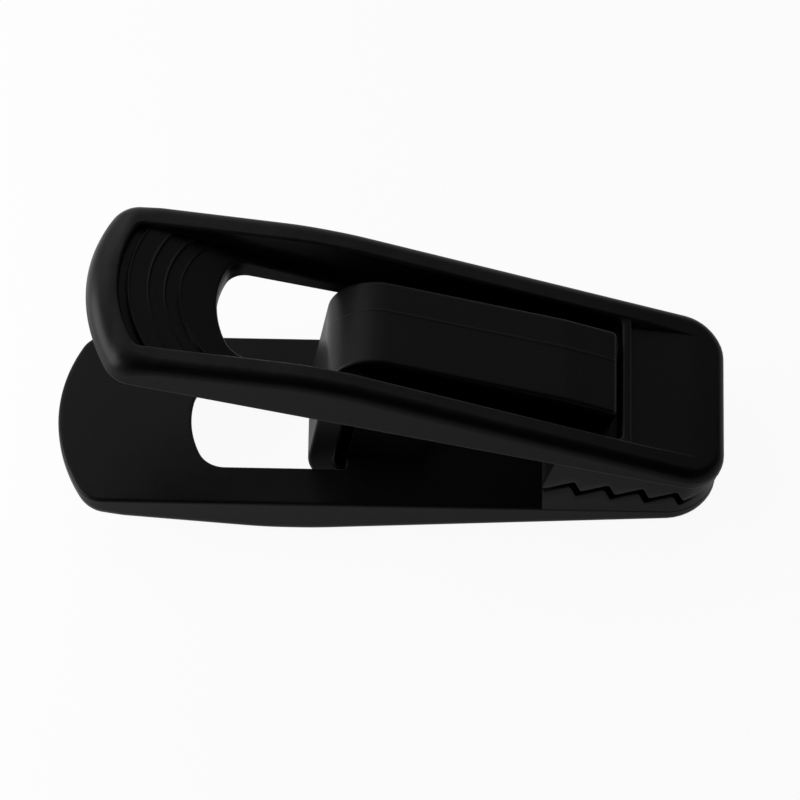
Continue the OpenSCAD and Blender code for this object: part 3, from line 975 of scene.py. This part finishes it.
    def fulcrum(self) -> Shell:
        """The rib across the inner face: with a hollow saddle on the lower arm, and a half-round bead on the upper.

        A flat profile in the middle-plane frame is carried across the clip and draws in by a small round at both ends.

        Returns:
            The shell.
        """
        clip, half = self.clip, self.bead_r + self.saddle_wall
        mid = (clip.vertex_u - self.fulcrum_u) / math.cos(clip.half_angle)
        if self.side is Side.LOWER:
            top, r, turn, steps = self.lip_drop, self.bead_r + self.bead_clear, math.pi, 25
        else:
            top = (half * math.sin(self.stop_angle) - self.lip_drop) / math.cos(self.stop_angle)
            r, turn, steps = self.bead_r, -math.pi, 37
        arc = np.linspace(math.asin(top / r), turn - math.asin(top / r), steps)
        side_l = (clip.inner_h(mid - half) - top) * math.cos(clip.half_angle) + self.sink
        run = soften(np.concatenate([
            [[mid + half, top]], np.stack([mid + r * np.cos(arc), r * np.sin(arc)], 1), [[mid - half, top]],
            [[mid - half - side_l * math.sin(clip.half_angle), top + side_l * math.cos(clip.half_angle)]],
            [[mid + half, clip.inner_h(mid + half) + self.sink]]]), self.fulcrum_round, 4)
        a, ease = quarter(5), self.fulcrum_ease
        draw = np.concatenate([[ease + self.fulcrum_cap], ease * (1 - np.sin(a))])
        v = self.fulcrum_l / 2 - np.concatenate([[0], ease * (1 - np.cos(a))])
        draw, v = np.concatenate([draw, draw[::-1]]), np.concatenate([-v, v[::-1]])
        loops = np.stack([inset_loop(run, d) for d in draw])
        points = clip.middle(loops[..., 0], v[:, None], self.side.value * loops[..., 1])
        return ring_shell(points, 0.0, False)

    def build(self, finish: bpy.types.Material) -> bpy.types.Object:
        """Makes the whole moulding, rides it on its body and lets it stand for its solid.

        Args:
            finish: The arm's plastic.

        Returns:
            The piece.
        """
        shells = [self.moulding(), self.crossbar(), self.jaw_pad(), self.fulcrum()]
        piece = piece_from(f"{self.node}_moulding", shells, finish)
        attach(piece, self.body)
        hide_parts(self.node)
        return piece


# ---- spring


@dataclass
class BandSpring:
    """The U spring: a band bent twice, with a square back and two legs that taper at their ends."""

    clip: ClipFrame
    band_w: float = 9.7
    band_t: float = 2.6
    bend_in_r: float = 2.0
    bend_s: float = 43.9034
    bend_h: float = 5.93806
    leg_end: tuple[float, float] = (20.0137, 6.61089)
    leg_slope: float = math.radians(1.4)
    leg_taper_l: float = 5.5
    leg_taper: float = 0.5
    leg_kink: float = 0.25
    leg_tip_r: float = 0.6
    plan_r: float = 0.5
    edge_round: float = 0.3
    edge_share: float = 0.3
    seam_v: float = 1.4
    seam_h: float = 0.014
    cap_h: float = 0.93
    cap_w: float = 0.97
    flex_h: float = 3.8

    def half_run(self) -> tuple[Array, Array, Array]:
        """Upper half of the band from the middle of its back to the end of the leg.

        The back runs straight up, the bend turns about its centre on the outer and inner radius, and the leg runs
        straight to its end, where the outer side falls in a taper, which starts as the parabola x^2 / 4k, and a round,
        and the width follows a corner arc.

        Returns:
            Outer places (s, h), inner places (s, h), and half widths.
        """
        out_r, k = self.bend_in_r + self.band_t, self.leg_kink
        lean = self.clip.half_angle + self.leg_slope
        run = (self.bend_s - self.leg_end[0]) * math.cos(lean) + (self.bend_h - self.leg_end[1]) * math.sin(lean)
        back = np.linspace(0, self.bend_h, 9)[:-1]
        a = math.pi - np.linspace(0, math.pi / 2 + lean, 29)
        x = np.concatenate([np.linspace(0, run - self.leg_taper_l - k, 12)[1:],
                            run - self.leg_taper_l + np.linspace(-k, k, 5)[1:],
                            np.linspace(run - self.leg_taper_l + k, run - self.plan_r, 8)[1:-1],
                            run - self.plan_r + self.plan_r * np.sin(quarter(15))])
        kink = np.clip(x - run + self.leg_taper_l + k, 0, 2 * k) ** 2 / (4 * k)
        past = np.where(x > run - self.leg_taper_l + k, x - run + self.leg_taper_l, kink)
        fall = past * self.leg_taper / self.leg_taper_l
        tip = np.clip(x - run + self.leg_tip_r, 0, self.leg_tip_r)
        fall = fall + self.leg_tip_r - np.sqrt(self.leg_tip_r**2 - tip**2)
        corner = np.clip(x - run + self.plan_r, 0, self.plan_r)
        leg_half = self.band_w / 2 - self.plan_r + np.sqrt(np.maximum(self.plan_r**2 - corner**2, 0))

        def side(r: float, out: Array) -> Array:
            """One side of the band: the back and the bend at radius r, then the leg at distance `out` from its line."""
            return np.concatenate([
                np.stack([0 * back + self.bend_s + r, back], 1),
                np.stack([self.bend_s - r * np.cos(a), self.bend_h + r * np.sin(a)], 1),
                np.stack([self.bend_s - x * math.cos(lean) - out * math.sin(lean),
                          self.bend_h - x * math.sin(lean) + out * math.cos(lean)], 1)])

        half = np.concatenate([np.full(len(back) + len(a), self.band_w / 2), leg_half])
        return side(out_r, out_r - fall), side(self.bend_in_r, self.bend_in_r + 0 * x), half

    def band(self) -> Shell:
        """The whole band: a rounded rectangle carried along the U, with a fine mould line on its outer side.

        Each section spans from the inner to the outer run; its corners are quarter circles, and the mould line is a low
        triangular ridge at one place across the band.

        Returns:
            The shell.
        """
        outer, inner, half = self.half_run()
        flip = np.array([1, -1])
        outer = np.concatenate([outer[:0:-1] * flip, outer])
        inner = np.concatenate([inner[:0:-1] * flip, inner])
        half = np.concatenate([half[:0:-1], half])[:, None]
        thick = np.linalg.norm(outer - inner, axis=1)[:, None] - self.seam_h
        e = np.minimum(self.edge_round, self.edge_share * thick)
        a, flat, one = quarter(6)[None, :], half - e, np.ones_like(half)
        ridge = self.seam_v + np.array([-0.3, -0.1, -0.05, 0.0, 0.05, 0.1, 0.3])[None, :]
        lift = np.array([0, 0, 0.5, 1, 0.5, 0, 0])[None, :] * self.seam_h
        aside, drop = e * (1 - np.cos(a)), e * (1 - np.sin(a))
        v = np.concatenate([
            aside - half, flat * [[-0.96, -0.6, -0.3, 0.0]], ridge * one, flat * [[0.6, 0.96]],
            half - aside[:, ::-1], half * [[1, 1, 1]],
            half - aside, flat * [[0.96, 0.4, 0, -0.4, -0.96]],
            aside[:, ::-1] - half, half * [[-1, -1, -1]]], 1)
        high = np.concatenate([
            thick - drop, thick * [[1, 1, 1, 1]], thick + lift, thick * [[1, 1]],
            thick - drop[:, ::-1], thick * [[0.8, 0.5, 0.2]], drop, 0 * thick * [[1, 1, 1, 1, 1]],
            drop[:, ::-1], thick * [[0.2, 0.5, 0.8]]], 1)
        # painted highlight lines on the band's rounded edges
        round_mask = np.sin(2 * a[0])
        mask = np.concatenate([part for plain in (13, 3, 5, 3) for part in (round_mask, np.zeros(plain))])
        share = high / (thick + self.seam_h)
        flats = inner[:, None, :] + (outer - inner)[:, None, :] * share[..., None]
        end = np.array([0, -1])
        centre = flats[end].mean(1, keepdims=True)
        cap = centre + (flats[end] - centre) * self.cap_h
        flats, v = capped(flats, cap), capped(v, v * self.cap_w)
        return ring_shell(self.clip.middle(flats[..., 0], v, flats[..., 1]), mask[None, :], False)

    def build(self, finish: bpy.types.Material) -> bpy.types.Object:
        """Makes the spring and lets it stand for its solid.

        Args:
            finish: The spring's plastic.

        Returns:
            The piece.
        """
        piece = piece_from("u_spring_moulding", [self.band()], finish)
        back = self.bend_s + self.bend_in_r + self.band_t
        ends = self.clip.middle(np.array([back, back]), np.zeros(2), np.array([-self.flex_h, self.flex_h]))
        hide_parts("u_spring")
        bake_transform(piece)
        return piece


# ---- studio


@dataclass(frozen=True)
class SoftBox:
    """A soft rectangular lamp.

    Attributes:
        name: Name of the lamp.
        place: Where it hangs, in metres.
        aim: Where it points, in metres.
        size: Width and height, in metres.
        power: Power, in watts.
    """

    name: str
    place: Place
    aim: Place
    size: tuple[float, float]
    power: float

    def hang(self) -> bpy.types.Object:
        """Makes the lamp and hides it from the camera."""
        lamp = bpy.data.lights.new(self.name, "AREA")
        lamp.shape, lamp.size, lamp.size_y, lamp.energy = "RECTANGLE", *self.size, self.power
        made = put(self.name, lamp)
        made.location = self.place
        made.rotation_euler = (Vector(self.aim) - Vector(self.place)).to_track_quat("-Z", "Y").to_euler()
        made.visible_camera = False
        return made


@dataclass(frozen=True)
class SkyGlow:
    """A broad soft glow in the sky.

    Attributes:
        towards: Direction of its middle.
        reach: Cosine of the angle from its middle at which it has faded out.
        level: Its full brightness.
        full: Cosine of the angle within which it has its full brightness.
    """

    towards: Place
    reach: float
    level: float
    full: float = 1.0


@dataclass
class Studio:
    """Pale floor, soft lamps, a dim sky with a soft glow over a white horizon, and the photograph's camera."""

    azimuth: float = math.radians(4.08663)
    elevation: float = math.radians(54.40179)
    roll: float = math.radians(-3.97473)
    distance: float = 0.94905
    target: Place = (0.000998, 0.0, 0.00832)
    lens: float = 440.8065
    sensor: float = 36.0
    far: float = 20.0
    lamps: tuple[SoftBox, ...] = (
        SoftBox("left_soft_box", (-0.145, 0.0, 0.056), (-0.02, 0, 0.015), (0.14, 0.08), 0.25),
        SoftBox("back_panel", (-0.12, 0.1, 0.135), (-0.03, 0, 0.015), (0.21, 0.14), 0.085),
    )
    horizon: SkyGlow = SkyGlow((0, 0, -1), -0.08, 1.0, 0.0)
    glows: tuple[SkyGlow, ...] = (
        SkyGlow((0, 0.9, 0.42), 0.6, 0.78),
    )
    dim: float = 0.02
    floor_half: float = 2.5
    floor_lines: int = 9
    floor_grey: float = 0.9
    white_to_camera: float = 0.94
    white_to_gloss: float = 0.5

    def camera(self) -> bpy.types.Object:
        """Sets the camera: a long lens aimed at the target from the fitted bearing, turned about its axis by the roll.

        Returns:
            The camera.
        """
        data = bpy.data.cameras.new("camera")
        data.sensor_width, data.lens, data.clip_end = self.sensor, self.lens, self.far
        made = put("camera", data)
        ce, se = math.cos(self.elevation), math.sin(self.elevation)
        back = Vector((math.sin(self.azimuth) * ce, -math.cos(self.azimuth) * ce, se))
        right = Vector((math.cos(self.azimuth), math.sin(self.azimuth), 0))
        up = back.cross(right)
        right, up = (right * math.cos(self.roll) + up * math.sin(self.roll),
                     up * math.cos(self.roll) - right * math.sin(self.roll))
        turn = Matrix((right, up, back)).transposed().to_4x4()
        made.matrix_world = Matrix.Translation(Vector(self.target) + back * self.distance) @ turn
        bpy.context.scene.camera = made
        return made

    def floor(self) -> bpy.types.Object:
        """Lays the pale floor; rays from the camera, gloss and glass see it as white in part, over its real shading.

        Returns:
            The floor.
        """
        n = self.floor_lines
        x, y = np.meshgrid(np.linspace(-1, 1, n), np.linspace(-1, 1, n), indexing="ij")
        points = np.stack([x, y, 0 * x], -1).reshape(-1, 3) * self.floor_half
        i, j = np.meshgrid(np.arange(n - 1), np.arange(n - 1), indexing="ij")
        quads = np.stack([i * n + j, (i + 1) * n + j, (i + 1) * n + j + 1, i * n + j + 1], -1).reshape(-1, 4)
        mesh = bpy.data.meshes.new("floor")
        mesh.from_pydata(points.tolist(), [], quads.tolist())
        paint = bpy.data.materials.new("floor_white")
        paint.use_nodes = True
        tree = paint.node_tree
        tree.nodes.remove(tree.nodes["Principled BSDF"])
        matt = add_node(tree, "ShaderNodeBsdfDiffuse", {"Color": (*[self.floor_grey] * 3, 1)})["BSDF"]
        glow = add_node(tree, "ShaderNodeEmission", {"Color": (1, 1, 1, 1), "Strength": 1.0})["Emission"]
        ray = add_node(tree, "ShaderNodeLightPath", {})
        seen: Socket | float = 0.0
        for label, white in (("Is Camera Ray", self.white_to_camera), ("Is Glossy Ray", self.white_to_gloss),
                             ("Is Transmission Ray", self.white_to_gloss)):
            seen = add_node(tree, "ShaderNodeMath", {0: ray[label], 1: white, 2: seen},
                            operation="MULTIPLY_ADD")["Value"]
        mix = add_node(tree, "ShaderNodeMixShader", {"Fac": seen, 1: matt, 2: glow})["Shader"]
        fill(tree, tree.nodes["Material Output"], {"Surface": mix})
        mesh.materials.append(paint)
        made = put("floor", mesh)
        return made

    def sky(self) -> bpy.types.World:
        """Sets the world: a low white band at the horizon, a dim sky and the glows, each fading with the angle from it.

        Returns:
            The world.
        """
        world = bpy.data.worlds.new("studio")
        world.use_nodes = True
        tree = world.node_tree
        place = add_node(tree, "ShaderNodeTexCoord", {})["Generated"]
        total: Socket | float = self.dim
        for glow in (self.horizon, *self.glows):
            toward = add_node(tree, "ShaderNodeVectorMath", {0: place, 1: Vector(glow.towards).normalized()},
                              operation="DOT_PRODUCT")["Value"]
            level = add_node(tree, "ShaderNodeMapRange", {
                "Value": toward, "From Min": glow.reach, "From Max": glow.full, "To Min": 0.0,
                "To Max": glow.level}, interpolation_type="SMOOTHSTEP")["Result"]
            total = add_node(tree, "ShaderNodeMath", {0: level, 1: total})["Value"]
        fill(tree, tree.nodes["Background"], {"Color": total})
        bpy.context.scene.world = world
        return world

    def build(self) -> None:
        """Sets up the whole studio."""
        bpy.context.scene.view_settings.view_transform = "Standard"
        self.camera()
        self.floor()
        self.sky()
        for lamp in self.lamps:
            lamp.hang()


def main() -> None:
    """Builds the studio and the clip's three pieces."""
    logging.basicConfig(level=logging.INFO, format="%(name)s: %(message)s")
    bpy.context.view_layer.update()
    Studio().build()
    groups = FinishGroups()
    arm_plastic, spring_plastic = ARM_PLASTIC.material(groups), SPRING_PLASTIC.material(groups)
    clip = ClipFrame()
    pieces = [
        Arm(Side.LOWER, clip, "lower", "lower_arm").build(arm_plastic),
        Arm(Side.UPPER, clip, "upper", "upper_arm").build(arm_plastic),
        BandSpring(clip).build(spring_plastic),
    ]
    for piece in pieces:
        log.info("%s: %d corners, %d faces", piece.name, len(piece.data.vertices), len(piece.data.polygons))


if __name__ == "__main__":
    main()
